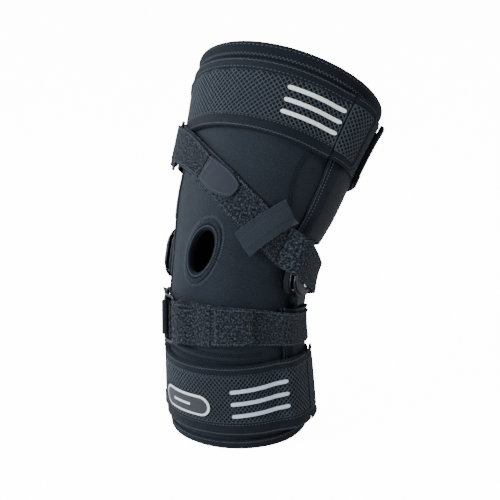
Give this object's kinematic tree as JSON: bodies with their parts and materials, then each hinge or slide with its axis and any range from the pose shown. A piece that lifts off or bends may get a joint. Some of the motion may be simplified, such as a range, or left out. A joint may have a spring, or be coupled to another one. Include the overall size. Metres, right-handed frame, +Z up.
{
  "type": "hinged knee brace",
  "caption": "Hinged knee brace: a bent fabric sleeve with wraparound cuffs, crossing straps with rings, and geared two-pivot side hinges.",
  "frame": {"origin": "centre of the knee, midway between the left and right hinges and between the two pivots of each", "axes": "+Z up, +X to the wearer's outer side (right in the front view of this left brace), -Y to the front of the knee"},
  "size_m": [0.1877, 0.2294, 0.349],
  "materials": {
    "sleeve_fabric": "charcoal laminated stretch knit, matte with a soft sheen",
    "binding_tape": "navy-black knitted binding with overlock stitching",
    "cuff_fabric": "navy-black knitted trim",
    "spacer_mesh": "charcoal spacer mesh with dark round holes",
    "reflective_print": "white raised print",
    "silver_print": "silver-blue raised print",
    "badge_patch": "plain soft pill-shaped patch",
    "loop_webbing": "unbroken loop pile, mottled",
    "hook_tape": "fine moulded hooks",
    "pocket_fabric": "smooth navy-black tricot",
    "arm_aluminium": "black anodised aluminium bar",
    "moulded_black": "moulded nylon, slightly glossy",
    "ribbed_elastic": "ribbed woven elastic",
    "smooth_tab": "smooth grey bonded fabric",
    "ring_metal": "black coated steel wire",
    "plate_steel": "black coated steel plate",
    "rivet_steel": "bright steel",
    "washer_polymer": "dark acetal",
    "pad_foam": "foam pad with knitted face"
  },
  "bodies": {
    "thigh": {"thigh_sleeve": "sleeve_fabric", "thigh_binding": "binding_tape", "thigh_cuff": "cuff_fabric", "thigh_cuff_mesh": "spacer_mesh", "thigh_cuff_stripes": "reflective_print", "thigh_cuff_landing": "loop_webbing", "left_thigh_pocket": "pocket_fabric", "right_thigh_pocket": "pocket_fabric", "left_thigh_arm": "arm_aluminium", "right_thigh_arm": "arm_aluminium", "thigh_arm_tips": "moulded_black", "diagonal_strap": "loop_webbing", "diagonal_return": "loop_webbing", "diagonal_fold": "loop_webbing", "diagonal_ring": "ring_metal", "diagonal_anchor": "binding_tape", "diagonal_keeper": "ribbed_elastic"},
    "links": {"diagonal_tail": "loop_webbing", "knee_sleeve": "sleeve_fabric", "patella_binding": "binding_tape", "left_inner_plate": "plate_steel", "left_outer_plate": "plate_steel", "left_rivets": "rivet_steel", "left_washers": "washer_polymer", "left_stop_pins": "rivet_steel", "left_hinge_cover": "moulded_black", "left_hinge_pad": "pad_foam", "right_inner_plate": "plate_steel", "right_outer_plate": "plate_steel", "right_rivets": "rivet_steel", "right_washers": "washer_polymer", "right_stop_pins": "rivet_steel", "right_hinge_cover": "moulded_black", "right_hinge_pad": "pad_foam"},
    "calf": {"calf_sleeve": "sleeve_fabric", "calf_binding": "binding_tape", "calf_cuff": "cuff_fabric", "calf_cuff_mesh": "spacer_mesh", "calf_cuff_stripes": "silver_print", "calf_badge": "badge_patch", "calf_cuff_landing": "loop_webbing", "left_calf_pocket": "pocket_fabric", "right_calf_pocket": "pocket_fabric", "left_calf_arm": "arm_aluminium", "right_calf_arm": "arm_aluminium", "calf_arm_tips": "moulded_black", "lower_strap": "loop_webbing", "lower_return": "loop_webbing", "lower_fold": "loop_webbing", "lower_ring": "ring_metal", "lower_anchor": "binding_tape"},
    "thigh_cuff_flap": {"thigh_cuff_tab": "cuff_fabric", "thigh_cuff_hook": "hook_tape"},
    "calf_cuff_flap": {"calf_cuff_tab": "cuff_fabric", "calf_cuff_hook": "hook_tape"},
    "diagonal_flap": {"diagonal_hook_tab": "smooth_tab"},
    "lower_flap": {"lower_strap_tab": "loop_webbing"}
  },
  "joints": [
    {"name": "upper_pivot", "type": "hinge", "parent": "thigh", "child": "links", "pos_m": [0, 0.00248, 0.00865], "axis": [1, 0, 0], "range_deg": [-20, 25], "deforming": ["knee_sleeve", "patella_binding", "diagonal_tail"]},
    {"name": "lower_pivot", "type": "hinge", "parent": "links", "child": "calf", "pos_m": [0, -0.00248, -0.00865], "axis": [1, 0, 0], "range_deg": [-20, 25]},
    {"name": "thigh_cuff_peel", "type": "hinge", "parent": "thigh", "child": "thigh_cuff_flap", "pos_m": [0.08073, 0.04229, 0.12118], "axis": [-0.1634, -0.5171, -0.8402], "range_deg": [0, 60]},
    {"name": "calf_cuff_peel", "type": "hinge", "parent": "calf", "child": "calf_cuff_flap", "pos_m": [0.0699, 0.00793, -0.10409], "axis": [0.0448, 0.0871, -0.9952], "range_deg": [0, 60]},
    {"name": "diagonal_peel", "type": "hinge", "parent": "thigh", "child": "diagonal_flap", "pos_m": [-0.01673, -0.02765, 0.08954], "axis": [-0.3493, -0.4058, -0.8446], "range_deg": [0, 60]},
    {"name": "lower_strap_peel", "type": "hinge", "parent": "calf", "child": "lower_flap", "pos_m": [0.01557, -0.06829, -0.03994], "axis": [0.0083, 0.0085, -0.9999], "range_deg": [0, 60]}
  ],
  "couplings": [
    {"joint": "lower_pivot", "follows": "upper_pivot", "ratio": 1}
  ]
}
